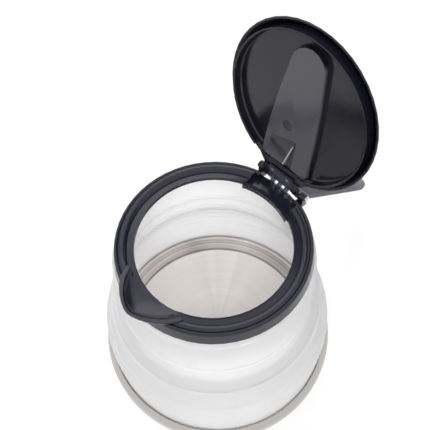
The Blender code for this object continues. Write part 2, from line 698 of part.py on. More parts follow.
def groove_ring(root, front, root_half, front_half, level):
    """Plan of the handle groove at one level, rounded at the front, wider at the hinge."""
    straight_end = front + front_half
    taper_shares = (0.35, 0.7)
    points = [(root, root_half, level)]
    for share in taper_shares:
        points.append((
            root + (straight_end - root) * share,
            root_half + (front_half - root_half) * share * share,
            level,
        ))
    turns = SMALL_FACETS // 2
    for step in range(turns + 1):
        angle = math.pi / 2 + math.pi * step / turns
        points.append((straight_end + front_half * math.cos(angle), front_half * math.sin(angle), level))
    for share in reversed(taper_shares):
        points.append((
            root + (straight_end - root) * share,
            -root_half - (front_half - root_half) * share * share,
            level,
        ))
    points.append((root, -root_half, level))
    return points


def groove_solid(grow, low, high):
    """The groove's volume, drafted from the hump's face to its foot and on up to a level."""
    share = (low - HUMP_LEVEL) / (PANEL_LEVEL - HUMP_LEVEL)
    root_spread = HUMP_FOOT_ROOT_HALF_WIDTH - HUMP_FACE_ROOT_HALF_WIDTH
    root_half = HUMP_FACE_ROOT_HALF_WIDTH + root_spread * share
    front_spread = HUMP_FOOT_FRONT_HALF_WIDTH - HUMP_FACE_FRONT_HALF_WIDTH
    front_half = HUMP_FACE_FRONT_HALF_WIDTH + front_spread * share
    front = HUMP_FRONT + (HUMP_FOOT_FRONT - HUMP_FRONT) * share
    rings = [
        groove_ring(HUMP_ROOT + grow, front - grow, root_half + grow, front_half + grow, low),
        groove_ring(HUMP_ROOT + grow, HUMP_FOOT_FRONT - grow, HUMP_FOOT_ROOT_HALF_WIDTH + grow,
                    HUMP_FOOT_FRONT_HALF_WIDTH + grow, PANEL_LEVEL),
    ]
    if high > PANEL_LEVEL:
        wide = grow + GROOVE_UPPER_DRAFT
        rings.append(groove_ring(HUMP_ROOT + grow, HUMP_FOOT_FRONT - wide, HUMP_FOOT_ROOT_HALF_WIDTH + wide,
                                 HUMP_FOOT_FRONT_HALF_WIDTH + wide, high))
    return loft(rings)


def dome(inset, rim):
    """Outline of the lid's dome, or of its inside where the inset is a wall."""
    height = LID_DOME_LEVEL - LID_RIM_LEVEL
    outside = [(0.0, LID_DOME_LEVEL)]
    for radius_share, height_share in zip(LID_RADIUS_SHARES, LID_HEIGHT_SHARES):
        outside.append((LID_RADIUS * radius_share, LID_RIM_LEVEL + height * height_share))
    points = inset_line(smooth_line(outside, 2), inset)
    points[0] = (0.0, LID_DOME_LEVEL - inset)
    return points + [(LID_RADIUS - inset, rim), (0.0, rim)]


def lid_outer_shell(look, parent):
    """The lid's outer moulding: a shallow dome with the groove that takes the handle."""
    high = LID_DOME_LEVEL + CUT_OVERRUN
    block_grow = -HUMP_WALL - SEAT_GAP
    floor = HUMP_LEVEL + HUMP_WALL + SEAT_GAP
    form = joined(turned(dome(0.0, LID_RIM_LEVEL)), groove_solid(block_grow, floor, PANEL_LEVEL))
    inside = turned(dome(LID_WALL, LID_RIM_LEVEL - CUT_OVERRUN * 2))
    inside = cut(inside, groove_solid(block_grow, floor, high))
    form = cut(form, inside)
    form = cut(form, groove_solid(block_grow - LID_WALL, floor + LID_WALL, high))
    notch_half = HANDLE_ROOT_HALF_WIDTH + RUNNING_GAP * 2
    notch = box((HUMP_ROOT - CUT_OVERRUN, -notch_half, NOTCH_LEVEL),
                (LID_RADIUS + CUT_OVERRUN, notch_half, high))
    form = cut(form, notch)
    root = TONGUE_ROOT - LID_WALL * 4
    tongue_ends = [(root, TONGUE_HALF_WIDTH), (root, -TONGUE_HALF_WIDTH),
                   (TONGUE_END, -LEAF_HALF_WIDTH * 1.5), (TONGUE_END, LEAF_HALF_WIDTH * 1.5)]
    tongue = prism(tongue_ends, LID_RIM_LEVEL, LID_RIM_LEVEL + TONGUE_THICKNESS)
    inner_side = upright((0.0, 0.0), SKIRT_RADIUS + SEAT_GAP * 2, LID_RIM_LEVEL - CUT_OVERRUN,
                         high, ROUND_FACETS)
    form = joined(form, cut(tongue, inner_side))
    for side in (-1, 1):
        low, high_side = sorted((side * WING_INNER, side * WING_OUTER))
        form = joined(form, box((WING_START, low, WING_LOW), (WING_END, high_side, WING_HIGH)))
    for side in (-1, 1):
        hole = upright((LEAF_SCREW_PLACE, side * LEAF_SCREW_SPACING), LEAF_SCREW_RADIUS + SEAT_GAP / 2,
                       LID_RIM_LEVEL - CUT_OVERRUN, PANEL_LEVEL, SMALL_FACETS // 2)
        form = cut(form, hole)
    return node("lid_outer_shell", shifted(form), look, parent)


def lid_inner_liner(look, parent):
    """The lid's inner moulding: panel, skirt, hump over the groove, pad and gate mark."""
    panel_top = PANEL_LEVEL + PANEL_THICKNESS
    inner = SKIRT_RADIUS - SKIRT_WALL
    edge = SKIRT_WALL / 3
    outline = [
        (0.0, panel_top), (SKIRT_RADIUS - edge, panel_top), (SKIRT_RADIUS, panel_top - edge),
        (SKIRT_RADIUS, SKIRT_LEVEL), (SKIRT_RADIUS - SKIRT_WALL / 2, SKIRT_LEVEL),
        (inner, SKIRT_LEVEL + edge), (inner, PANEL_LEVEL - edge * 2), (inner - edge * 2, PANEL_LEVEL),
        (0.0, PANEL_LEVEL),
    ]
    form = joined(turned(outline), groove_solid(0.0, HUMP_LEVEL, PANEL_LEVEL + PANEL_THICKNESS / 2))
    pad_plan = [(PAD_BACK, PAD_SIDE, PAD_RISE), (PAD_FRONT + PAD_SLANT, PAD_SIDE, PAD_FRONT_RISE),
                (PAD_FRONT, -PAD_SLANT, PAD_FRONT_RISE), (PAD_BACK, -PAD_SLANT / 4, PAD_RISE)]
    pad = loft([
        [(x, y, HUMP_LEVEL - rise) for x, y, rise in pad_plan],
        [(x, y, HUMP_LEVEL + HUMP_WALL / 2) for x, y, rise in pad_plan],
    ])
    form = joined(form, pad)
    form = cut(form, groove_solid(-HUMP_WALL, HUMP_LEVEL + HUMP_WALL, panel_top + CUT_OVERRUN))
    mark = upright((GATE_MARK_PLACE, GATE_MARK_OFFSET), GATE_MARK_RADIUS,
                   HUMP_LEVEL - CUT_OVERRUN, HUMP_LEVEL + GATE_MARK_DEPTH)
    form = cut(form, mark)
    valley_plan = [(PAD_FRONT, -PAD_SLANT), (HUMP_ROOT + CUT_OVERRUN, -PAD_SLANT / 4),
                   (HUMP_ROOT + CUT_OVERRUN, -PAD_SLANT / 4 - VALLEY_WIDTH)]
    valley = prism(valley_plan, HUMP_LEVEL - CUT_OVERRUN, HUMP_LEVEL + VALLEY_DEPTH)
    form = cut(form, valley)
    notch_top = BLOCK_LIP_RISE - BLOCK_TOP_DEPTH + RUNNING_GAP
    notch = box((SKIRT_RADIUS / 2, -SKIRT_NOTCH_HALF_WIDTH, SKIRT_LEVEL - CUT_OVERRUN),
                (SKIRT_RADIUS + CUT_OVERRUN, SKIRT_NOTCH_HALF_WIDTH, notch_top))
    hump_side = upright((0.0, 0.0), inner - SEAT_GAP, SKIRT_LEVEL - CUT_OVERRUN * 2, panel_top, ROUND_FACETS)
    notch = cut(notch, hump_side)
    form = cut(form, notch)
    return node("lid_inner_liner", shifted(form), look, parent)


def lid_hinge_leaf(look, parent):
    """The stepped, slotted leaf under the lid's tongue, with three hooked ribs on the pin."""
    lap_top = LID_RIM_LEVEL - SEAT_GAP
    lap_low = lap_top - LEAF_THICKNESS
    plate_top = PIVOT_RISE - PIN_RADIUS - RUNNING_GAP
    plate_low = plate_top - LEAF_THICKNESS
    riser = TONGUE_END + SEAT_GAP
    form = box((LEAF_START, -LEAF_HALF_WIDTH, lap_low), (riser + LEAF_THICKNESS, LEAF_HALF_WIDTH, lap_top))
    form = joined(form, box((riser, -LEAF_HALF_WIDTH, lap_low),
                            (riser + LEAF_THICKNESS, LEAF_HALF_WIDTH, plate_top)))
    form = joined(form, box((riser, -LEAF_HALF_WIDTH, plate_low), (LEAF_END, LEAF_HALF_WIDTH, plate_top)))
    slot = box((SLOT_PLACE - SLOT_WIDTH / 2, -SLOT_HALF_LENGTH, plate_low - CUT_OVERRUN),
               (SLOT_PLACE + SLOT_WIDTH / 2, SLOT_HALF_LENGTH, plate_top + CUT_OVERRUN))
    form = cut(form, slot)
    hook = [
        (RIB_ROOT, -RIB_TIP_DROP), (0.0, -RIB_DROP), (RIB_TAIL, -RIB_TAIL_DROP),
        (RIB_TIP, -RIB_TIP_DROP), (KNUCKLE_RADIUS, 0.0), (0.0, 0.0),
    ]
    for step in range(RIB_COUNT):
        middle = (step - (RIB_COUNT - 1) / 2) * RIB_SPACING
        side = RIB_THICKNESS / 2
        knuckle = rod((PIVOT_RADIUS, middle, PIVOT_RISE), KNUCKLE_RADIUS, RIB_THICKNESS)
        rib = loft([
            [(PIVOT_RADIUS + x, y, PIVOT_RISE + z) for x, z in hook] for y in (middle - side, middle + side)
        ])
        form = joined(form, joined(knuckle, rib))
    bore = rod((PIVOT_RADIUS, 0.0, PIVOT_RISE), PIN_RADIUS + RUNNING_GAP, LEAF_HALF_WIDTH * 3)
    form = cut(form, bore)
    for side in (-1, 1):
        hole = upright((LEAF_SCREW_PLACE, side * LEAF_SCREW_SPACING), LEAF_SCREW_RADIUS + SEAT_GAP / 2,
                       lap_low - CUT_OVERRUN, lap_top + SEAT_GAP / 2, SMALL_FACETS // 2)
        form = cut(form, hole)
    return node("lid_hinge_leaf", shifted(form), look, parent)


def leaf_screws(look, parent):
    """Two small screws that hold the leaf on the tongue, driven from inside the lid."""
    high = LID_RIM_LEVEL + TONGUE_THICKNESS - SEAT_GAP
    low = LID_RIM_LEVEL - SEAT_GAP - LEAF_THICKNESS - SEAT_GAP / 2
    for number, side in enumerate((-1, 1), start=1):
        place = (LEAF_SCREW_PLACE, side * LEAF_SCREW_SPACING)
        shank = upright(place, LEAF_SCREW_RADIUS, low - LEAF_SCREW_HEAD_HEIGHT / 2, high, SMALL_FACETS // 2)
        head = upright(place, LEAF_SCREW_HEAD_RADIUS, low - LEAF_SCREW_HEAD_HEIGHT, low, SMALL_FACETS // 2)
        node(f"lid_leaf_screw_{number}", shifted(joined(shank, head)), look, parent)


def handle_plan(inset):
    """Plan of the handle from its root round the tip, as half widths along its length."""
    end = HANDLE_LENGTH - inset
    straight_end = HANDLE_LENGTH - HANDLE_TIP_ROUND
    points = [
        (HANDLE_START + inset, HANDLE_ROOT_HALF_WIDTH - inset),
        (straight_end, HANDLE_TIP_HALF_WIDTH - inset),
    ]
    turns = SMALL_FACETS // 4 + 1
    for step in range(1, turns):
        angle = math.pi / 2 * (1 - step / turns)
        bulge = math.cos(angle)
        points.append((
            straight_end + (end - straight_end) * bulge,
            (HANDLE_TIP_HALF_WIDTH - inset) * math.sin(angle) ** 0.8,
        ))
    mirrored = [(x, -y) for x, y in reversed(points)]
    return points + [(end, 0.0)] + mirrored


def handle_cover(levels, insets):
    """A cover lofted through level plans of the handle."""
    return loft([[(x, y, level) for x, y in handle_plan(inset)] for level, inset in zip(levels, insets)])


def handle_screw_places():
    """Where the handle's screws stand along its centre line."""
    return [HANDLE_LENGTH * share for share in HANDLE_SCREW_SHARES]


def handle_upper_cover(look, parent):
    """The upper moulding of the handle, with a pocket for the frame."""
    top = -HANDLE_FACE_DROP
    middle = top - HANDLE_THICKNESS / 2 + SEAT_GAP / 2
    form = handle_cover(
        (middle, top - HANDLE_EDGE_ROUND, top - HANDLE_EDGE_ROUND / 3, top),
        (0.0, 0.0, HANDLE_EDGE_ROUND / 3, HANDLE_EDGE_ROUND),
    )
    pocket = frame_strap(RUNNING_GAP, middle - CUT_OVERRUN, top - HANDLE_WALL)
    form = cut(form, pocket)
    return node("handle_upper_cover", form, look, parent)


def frame_strap(grow, low, high):
    """The frame's strap inside the handle, or its pocket where it is grown."""
    half = FRAME_HALF_WIDTH + grow
    start = HANDLE_START - CUT_OVERRUN
    end = HANDLE_LENGTH - FRAME_END_MARGIN + grow
    corner = FRAME_HALF_WIDTH / 2
    return prism([
        (start, -half), (end - corner, -half), (end, -half + corner),
        (end, half - corner), (end - corner, half), (start, half),
    ], low, high)


def handle_lower_cover(look, parent):
    """The lower moulding of the handle, with the screw holes."""
    bottom = -HANDLE_FACE_DROP - HANDLE_THICKNESS
    middle = bottom + HANDLE_THICKNESS / 2 - SEAT_GAP / 2
    form = handle_cover(
        (bottom, bottom + HANDLE_EDGE_ROUND / 3, bottom + HANDLE_EDGE_ROUND, middle),
        (HANDLE_EDGE_ROUND, HANDLE_EDGE_ROUND / 3, 0.0, 0.0),
    )
    form = cut(form, frame_strap(RUNNING_GAP, bottom + HANDLE_WALL, middle + CUT_OVERRUN))
    for place in handle_screw_places():
        form = cut(form, upright((place, 0.0), SCREW_RADIUS + SEAT_GAP, bottom - CUT_OVERRUN, middle))
        form = cut(form, upright((place, 0.0), SCREW_HEAD_RADIUS + SEAT_GAP, bottom - CUT_OVERRUN,
                                 bottom + SCREW_HEAD_HEIGHT))
    return node("handle_lower_cover", form, look, parent)


def handle_frame(look, parent):
    """The inner frame: a strap through the handle and two fork arms round the pin."""
    top = -HANDLE_FACE_DROP
    bottom = top - HANDLE_THICKNESS
    strap_middle = (top + bottom) / 2
    low = strap_middle - FRAME_THICKNESS / 2
    high = strap_middle + FRAME_THICKNESS / 2
    bar_end = HANDLE_START - SEAT_GAP
    half = HANDLE_ROOT_HALF_WIDTH
    form = box((FRAME_BAR_START, -half, bottom + SEAT_GAP), (bar_end, half, top - SEAT_GAP))
    form = joined(form, frame_strap(0.0, low, high))
    for side in (-1, 1):
        inner, outer = sorted((side * ARM_INNER, side * HANDLE_ROOT_HALF_WIDTH))
        outline = [
            (0.0, ARM_RADIUS * 0.9), (FRAME_BAR_START, top - SEAT_GAP), (bar_end, top - SEAT_GAP),
            (bar_end, bottom + SEAT_GAP), (ARM_REACH, bottom + SEAT_GAP), (0.0, -ARM_RADIUS * 0.9),
        ]
        arm = loft([[(x, y, z) for x, z in outline] for y in (inner, outer)])
        eye = rod((0.0, (inner + outer) / 2, 0.0), ARM_RADIUS, outer - inner)
        form = joined(form, joined(arm, eye))
    form = cut(form, rod((0.0, 0.0, 0.0), PIN_RADIUS + RUNNING_GAP, half * 3))
    for place in handle_screw_places():
        form = cut(form, upright((place, 0.0), SCREW_RADIUS + SEAT_GAP, bottom, top))
    return node("handle_frame", form, look, parent)


def handle_screws(look, parent):
    """The screws that draw the covers together through the frame."""
    top = -HANDLE_FACE_DROP
    bottom = top - HANDLE_THICKNESS
    head_top = bottom + SCREW_HEAD_HEIGHT - SEAT_GAP / 2
    for number, place in enumerate(handle_screw_places(), start=1):
        shank = upright((place, 0.0), SCREW_RADIUS, bottom + SEAT_GAP, top - HANDLE_WALL - SEAT_GAP)
        head = upright((place, 0.0), SCREW_HEAD_RADIUS, bottom + SEAT_GAP / 2, head_top)
        node(f"handle_screw_{number}", joined(shank, head), look, parent)


def build():
    """Draw the whole kettle."""
    clear_scene()
    steel = material("brushed_steel", (0.62, 0.60, 0.57), 0.3, 1.0)
    dark_steel = material("blackened_steel", (0.05, 0.05, 0.055), 0.4, 1.0)
    aluminium = material("aluminium", (0.72, 0.72, 0.73), 0.45, 1.0)
    silicone = material("white_silicone", (0.86, 0.86, 0.85), 0.5)
    black = material("black_plastic", (0.018, 0.019, 0.022), 0.42)
    base_cover(steel)
    heat_spreader(aluminium)
    base_pan(steel)
    rim_ring(steel)
    silicone_body(silicone)
    collar(black)
    retaining_ring(black)
    hinge_pin(dark_steel)
    pin_clip(dark_steel)
    lid_pivot = pivot_empty("lid_pivot", LID_OPEN_ANGLE)
    lid_outer_shell(black, lid_pivot)
    lid_inner_liner(black, lid_pivot)
    lid_hinge_leaf(black, lid_pivot)
    leaf_screws(dark_steel, lid_pivot)
    handle_pivot = pivot_empty("handle_pivot", HANDLE_SLOPE)
    handle_upper_cover(black, handle_pivot)
    handle_lower_cover(black, handle_pivot)
    handle_frame(black, handle_pivot)
    handle_screws(steel, handle_pivot)


build()
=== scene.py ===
"""Collapsible kettle: finished surfaces and fine pieces over the kettle's frame.

Frame: metres, +Z up, origin at the centre of the resting face, spout towards -X,
hinge and handle at +X. The kettle stands extended with its lid open.
"""
import math

import bmesh
import bpy
from mathutils import Matrix, Vector


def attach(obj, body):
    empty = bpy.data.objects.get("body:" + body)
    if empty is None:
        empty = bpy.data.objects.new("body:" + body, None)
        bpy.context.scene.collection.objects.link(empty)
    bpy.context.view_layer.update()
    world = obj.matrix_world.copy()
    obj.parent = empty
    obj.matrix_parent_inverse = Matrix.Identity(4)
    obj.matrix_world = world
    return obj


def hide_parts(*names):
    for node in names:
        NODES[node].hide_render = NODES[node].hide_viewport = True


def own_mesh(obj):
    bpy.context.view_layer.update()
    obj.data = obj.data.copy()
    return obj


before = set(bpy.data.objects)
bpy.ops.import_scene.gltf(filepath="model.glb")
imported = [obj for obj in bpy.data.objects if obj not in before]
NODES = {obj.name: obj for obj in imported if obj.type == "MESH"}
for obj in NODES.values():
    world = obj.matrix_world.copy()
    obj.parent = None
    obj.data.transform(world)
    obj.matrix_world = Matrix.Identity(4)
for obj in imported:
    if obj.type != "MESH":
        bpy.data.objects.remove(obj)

bl_info = {
    "name": "Collapsible Kettle",
    "version": (1, 0, 0),
    "blender": (4, 5, 0),
    "location": "3D View > Sidebar > Kettle",
    "description": "Makes the finished pieces of a collapsible kettle",
    "category": "Add Mesh",
}

MM = 0.001
DEGREE = math.radians(1.0)
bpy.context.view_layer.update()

# Meshes: facets of a turned form, when an edge counts as sharp, flat or worth a round, and welds
FINE_FACETS = 160
SHARP_ANGLE = math.radians(32)
BODY_SHARP_ANGLE = math.radians(60)
FLAT_ANGLE = math.radians(0.6)
ROUNDED_ANGLE = math.radians(38)
TURNED_WELD = MM / 1000
SOLID_WELD = MM / 500

COLLAR_TOP = 144.0 * MM
PIVOT = Vector((61.0 * MM, 0.0, 145.0 * MM))
LID_TURN = math.radians(98.5)

# The closed lid: heights are from the collar top, places along X from the kettle's axis
LID_SHIFT = Vector((61.0 * MM, 0.0, 1.0 * MM))
PANEL_LEVEL = -0.8 * MM
HUMP_LEVEL = -4.4 * MM
LEVEL_SLACK = 0.03 * MM
HUMP_ROOT = 41.6 * MM
HUMP_TURN = -27.8 * MM
HUMP_ROOT_HALF = 20.4 * MM
HUMP_FRONT_HALF = 14.6 * MM
HUMP_SIDE_REACH = 0.8 * MM
HUMP_FRONT_REACH = 0.4 * MM
HUMP_DRAW_IN = 2.8 * MM
HUMP_ROUND = 2.6 * MM
HUMP_EDGE_ANGLE = 0.9
HUMP_ROOT_NEAR, HUMP_ROOT_FAR = 1.0 * MM, 4.0 * MM
HUMP_SIDE_HEIGHT = 1.0 * MM
HUMP_FACE_SLACK = 0.05 * MM

# Painted sheen on the liner's raised face and painted highlight on its rounded edges, as greys against
# millimetres of the closed lid's height: where the pad is, and beside it
SHEEN_PAD = (
    (-7.0, 0.7), (-5.8, 0.3), (-4.63, 0.12), (-4.51, 0.64), (-4.3, 0.68), (-4.12, 0.5), (-3.88, 0.0),
)
SHEEN_EDGE = (
    (-7.0, 0.7), (-5.8, 0.3), (-4.63, 0.12), (-4.51, 0.64), (-4.3, 0.68), (-4.0, 1.0), (-3.4, 0.5),
    (-2.5, 0.1), (-1.6, 0.0),
)
SHEEN_SIDE = (8.5 * MM, 10.0 * MM)
SHEEN_RIM = (42.5 * MM, 44.0 * MM)
SHEEN_GREY = (0.084, 0.083, 0.098)

# The painted highlight along the pad's ridge: a point on it, the way across it, and where it fades
RIDGE_POINT = Vector((20.0 * MM, -5.0 * MM, 0.0))
RIDGE_ACROSS = Vector((-0.193, 1.0, 0.0))
RIDGE_FADE = (0.35 * MM, 0.8 * MM)
RIDGE_LEVEL = (-5.02 * MM, -4.78 * MM)
RIDGE_END = (22.0 * MM, 26.0 * MM)
RIDGE_HIGHLIGHT = (0.4, 0.4, 0.42)

# Painted reflections on the pan: darker bands round its steps by radius in millimetres, and by degrees
# round its axis the rays of sheen on the plate and the folds of light on the steps. They stay put in any light.
PAINTED_STEP_BANDS = (
    (69.8, 1.0), (70.3, 0.33), (71.1, 0.45), (71.9, 0.9), (73.8, 0.75), (75.4, 0.95), (76.2, 0.5),
    (77.3, 0.88), (78.6, 0.66), (79.6, 1.0), (81.8, 0.92), (83.4, 0.55), (85.0, 0.5),
)
BAND_WARMTH = (1.0, 0.9, 0.84)
PAINTED_PLATE_RAYS = (
    (0.0, 0.97), (18.0, 1.0), (29.7, 0.93), (32.4, 1.0), (46.8, 0.92), (50.4, 0.97), (57.6, 0.9), (72.0, 0.94),
)
STEP_FOLDS = (
    (-41.1, 0.85), (1.8, 0.7), (15.5, 0.85), (27.9, 1.0), (38.9, 0.88), (50.0, 0.85), (61.1, 0.66),
    (72.0, 0.85), (100.1, 0.95), (140.3, 0.9),
)
PLATE_EDGE = (69.0 * MM, 70.0 * MM)

# The silicone body: millimetres of radius, and of height from the collar top
BODY_BEAD = ((59.1, -7.6), (59.1, -9.6))
BODY_TIERS = (
    ((60.2, -10.9), (61.9, -12.1), (63.0, -13.9), (63.9, -21.0), (64.75, -31.0), (65.1, -40.0)),
    ((65.9, -55.0), (66.9, -62.5), (69.6, -67.0), (72.2, -69.6)),
    ((75.2, -76.6), (77.4, -81.4)),
    ((80.6, -93.0), (81.9, -101.0), (82.3, -110.0), (82.1, -120.0), (82.0, -128.6), (82.0, -130.7)),
)
CREASES = ((65.2, -47.0), (73.6, -72.5), (78.8, -86.5))
CREASE_HALF = 1.5 * MM
CREASE_SHAPE = ((-0.25, 1.0), (-0.8, 0.35), (-1.0, 0.0), (-0.6, -0.35), (0.25, -1.0))
RIB_DEPTHS = (57.0 * MM, 63.5 * MM, 93.5 * MM, 99.5 * MM, 106.0 * MM)
RIB_RISE = 0.5 * MM
RIB_SPREAD = 0.8 * MM
RIB_STEP = 0.5 * MM

# The body's foot and the base: millimetres of radius and height
BODY_FOOT = ((82.0, 11.5), (84.4, 11.5), (84.4, 9.3), (80.7, 9.3))
PAN_PLATE = ((0.0, 5.0), (69.0, 5.0))
PAN_STEP = ((70.2, 5.15), (71.2, 5.55), (72.8, 6.75), (73.8, 7.1), (75.0, 7.2))
PAN_RISE = ((78.0, 7.3), (79.3, 7.7), (80.2, 8.65), (81.2, 9.0))
PAN_FLANGE = ((84.6, 9.0),)
PAN_SHEET = 0.8
RING_OUTSIDE = ((82.6, 12.7), (83.6, 12.98), (85.4, 12.3), (86.9, 10.6), (87.5, 8.4), (87.6, 6.0), (87.6, 2.95))
RING_INSIDE = ((86.7, 6.0), (86.55, 8.2), (86.1, 10.2), (84.9, 11.45), (83.6, 12.05), (82.6, 11.8))
RING_ROLL = (85.9, 2.9)
RING_ROLL_OUTER, RING_ROLL_INNER = 1.7, 0.8
COVER_MARK = ((0.0, 0.0), (2.2, 0.0), (2.6, 0.25), (3.4, 0.25), (3.8, 0.0))
COVER_GROOVE = ((0.0, 0.0), (0.35, 0.18), (0.9, 0.18), (1.25, 0.0))
COVER_GROOVES = (17.0, 24.5, 32.0, 39.5, 47.0, 54.5)
COVER_CORNER = (64.4, 1.6)
COVER_CORNER_OUTER, COVER_CORNER_INNER = 1.6, 1.0
COVER_LIP = ((66.0, 3.05), (65.85, 3.2), (65.4, 3.2))
COVER_INSIDE = ((0.0, 0.6),)

# Brush marks: how close they run on upright faces, and how much broader the cloudy ones are
BRUSH_UPRIGHT = 0.9
BRUSH_BROAD = (9, 2)

# Painted light and shade: how much lighter or darker a piece is than its colour in the panel;
# and metals with their own colour
PLATE_SHADE, RING_SHADE, COVER_SHADE = 1.1, 0.6, 0.93
COLLAR_SHADE, LEAF_SHADE, HANDLE_SHADE = 1.8, 5.0, 4.0
ALUMINIUM = (0.72, 0.72, 0.73)
SCREW_STEEL = (0.30, 0.30, 0.31)
DARK_STEEL = (0.06, 0.06, 0.065)
WORN_STEEL = (0.75, 0.75, 0.76)

# The stage: lamps as name, direction, distance, size, watts and whether gloss shows them
LAMPS = (
    ("key", (-0.36, -0.38, 0.84), 1.0, 0.35, 9.4, False),
    ("top", (0.25, 0.45, 0.9), 0.9, 0.35, 5.8, False),
    ("back", (0.7, 0.75, 0.9), 1.1, 0.7, 1.8, True),
)
LAMP_TARGET = Vector((0.0, 0.0, 0.11))
FLOOR_SIZE = 3.0
FLOOR_GLOW = 0.8
WORLD_ON_SURFACES = 0.33
WHITE = (1.0, 1.0, 1.0, 1.0)


# ---------------------------------------------------------------- mesh helpers

def arc(centre, radius, first, last, steps):
    """Points on an arc in the radius-height plane, angles in degrees."""
    points = []
    for step in range(steps + 1):
        angle = math.radians(first + (last - first) * step / steps)
        points.append((centre[0] + radius * math.cos(angle), centre[1] + radius * math.sin(angle)))
    return points


def section(points, level=0.0):
    """Points in metres, from millimetres of radius and of height over a level."""
    return [(radius * MM, level + height * MM) for radius, height in points]


def smooth_line(points, steps):
    """A smooth curve through the given points."""
    padded = [points[0]] + list(points) + [points[-1]]
    line = []
    for index in range(1, len(padded) - 2):
        before, start, end, after = (Vector(p) for p in padded[index - 1:index + 3])
        for step in range(steps):
            t = step / steps
            blend = (
                start * 2
                + (end - before) * t
                + (before * 2 - start * 5 + end * 4 - after) * t ** 2
                + (start * 3 - before - end * 3 + after) * t ** 3
            )
            line.append(tuple(blend / 2))
    line.append(tuple(points[-1]))
    return line


def spun(outline):
    """A solid of revolution about Z from a closed outline of radius and height."""
    form = bmesh.new()
    corners = [form.verts.new((radius, 0.0, height)) for radius, height in outline]
    edges = []
    for index, corner in enumerate(corners):
        following = corners[(index + 1) % len(corners)]
        if corner.co.x > 0.0 or following.co.x > 0.0:
            edges.append(form.edges.new((corner, following)))
    bmesh.ops.spin(
        form, geom=corners + edges, cent=(0.0, 0.0, 0.0), axis=(0.0, 0.0, 1.0),
        angle=math.tau, steps=FINE_FACETS, use_merge=True, use_duplicate=False,
    )
    bmesh.ops.remove_doubles(form, verts=form.verts, dist=TURNED_WELD)
    bmesh.ops.recalc_face_normals(form, faces=form.faces)
    return form


def piece(name, form, look, body, stands_for, angle=SHARP_ANGLE):
    """Make a finished object that rides on a body."""
    mesh = bpy.data.meshes.new(name)
    form.to_mesh(mesh)
    form.free()
    mesh.shade_smooth()
    mesh.set_sharp_from_angle(angle=angle)
    mesh.materials.append(look)
    thing = bpy.data.objects.new(name, mesh)
    bpy.context.scene.collection.objects.link(thing)
    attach(thing, body)
    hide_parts(*stands_for)
    return thing


def to_closed(point):
    """A point of the open lid as it lies when the lid is closed, heights from the collar top."""
    return Matrix.Rotation(-LID_TURN, 3, "Y") @ (point - PIVOT) + LID_SHIFT


def to_open(point):
    """A point of the closed lid as it lies when the lid is open."""
    return Matrix.Rotation(LID_TURN, 3, "Y") @ (point - LID_SHIFT) + PIVOT


def steep_hump(form):
    """Bring the foot of the lid's hump in under its face, so that its sides stand steep."""
    for corner in form.verts:
        point = to_closed(corner.co)
        if abs(point.z - PANEL_LEVEL) > LEVEL_SLACK or point.x > HUMP_ROOT + HUMP_ROOT_NEAR:
            continue
        share = (HUMP_ROOT - point.x) / (HUMP_ROOT - HUMP_TURN)
        half = HUMP_ROOT_HALF + (HUMP_FRONT_HALF - HUMP_ROOT_HALF) * share * share
        if point.x >= HUMP_TURN and abs(point.y) <= half + HUMP_SIDE_REACH:
            point.y -= math.copysign(HUMP_DRAW_IN, point.y)
            corner.co = to_open(point)
        elif point.x < HUMP_TURN:
            outward = Vector((point.x - HUMP_TURN, point.y, 0.0))
            if outward.length <= HUMP_FRONT_HALF + HUMP_FRONT_REACH:
                corner.co = to_open(point - outward.normalized() * HUMP_DRAW_IN)


def round_hump(form):
    """Give the edges of the hump's face a broad round, all but the short one at its root."""
    edges = []
    for edge in form.edges:
        ends = [to_closed(corner.co) for corner in edge.verts]
        if len(edge.link_faces) != 2 or any(abs(end.z - HUMP_LEVEL) > LEVEL_SLACK for end in ends):
            continue
        places = [end.x for end in ends]
        if max(places) > HUMP_ROOT - HUMP_ROOT_NEAR and min(places) > HUMP_ROOT - HUMP_ROOT_FAR:
            continue
        heights = [to_closed(corner.co).z for face in edge.link_faces for corner in face.verts]
        reaches_up = max(heights) > HUMP_LEVEL + HUMP_SIDE_HEIGHT
        stays_above = min(heights) > HUMP_LEVEL - HUMP_FACE_SLACK
        if reaches_up and stays_above and edge.calc_face_angle(0.0) > HUMP_EDGE_ANGLE:
            edges.append(edge)
    bmesh.ops.bevel(
        form, geom=edges, offset=HUMP_ROUND, affect="EDGES", segments=5, profile=0.5, material=-1,
        clamp_overlap=True,
    )


def softened(node, look, body, width, changes=()):
    """A welded copy of a plain solid, with changes made to it and its sharp edges rounded."""
    form = bmesh.new()
    form.from_mesh(NODES[node].data)
    bmesh.ops.remove_doubles(form, verts=form.verts, dist=SOLID_WELD)
    bmesh.ops.dissolve_limit(form, angle_limit=FLAT_ANGLE, verts=form.verts, edges=form.edges)
    for change in changes:
        change(form)
    thing = piece(f"{node}_finished", form, look, body, (node,))
    if width > 0.0:
        edge = thing.modifiers.new("edges", "BEVEL")
        edge.width = width
        edge.segments = 2
        edge.limit_method = "ANGLE"
        edge.angle_limit = ROUNDED_ANGLE
        edge.use_clamp_overlap = True
        edge.harden_normals = True
    return thing


# ------------------------------------------------------------ material helpers

def feed(tree, socket, value):
    """Link a socket to another one, or give it a plain value."""
    if isinstance(value, bpy.types.NodeSocket):
        tree.links.new(value, socket)
    else:
        socket.default_value = value


def add(tree, kind, **inputs):
    """A shader node with its inputs set by name or linked from sockets."""
    made = tree.nodes.new(kind)
    for key, value in inputs.items():
        feed(tree, made.inputs[key.replace("_", " ")], value)
    return made


def surface(name, colour, roughness, metallic=0.0):
    """A Principled material and its tree, ready for detail."""
    look = bpy.data.materials.new(name)
    look.use_nodes = True
    look.diffuse_color = (*colour, 1.0)
    tree = look.node_tree
    shader = tree.nodes["Principled BSDF"]
    shader.inputs["Base Color"].default_value = (*colour, 1.0)
    shader.inputs["Roughness"].default_value = roughness
    shader.inputs["Metallic"].default_value = metallic
    return look, tree, shader


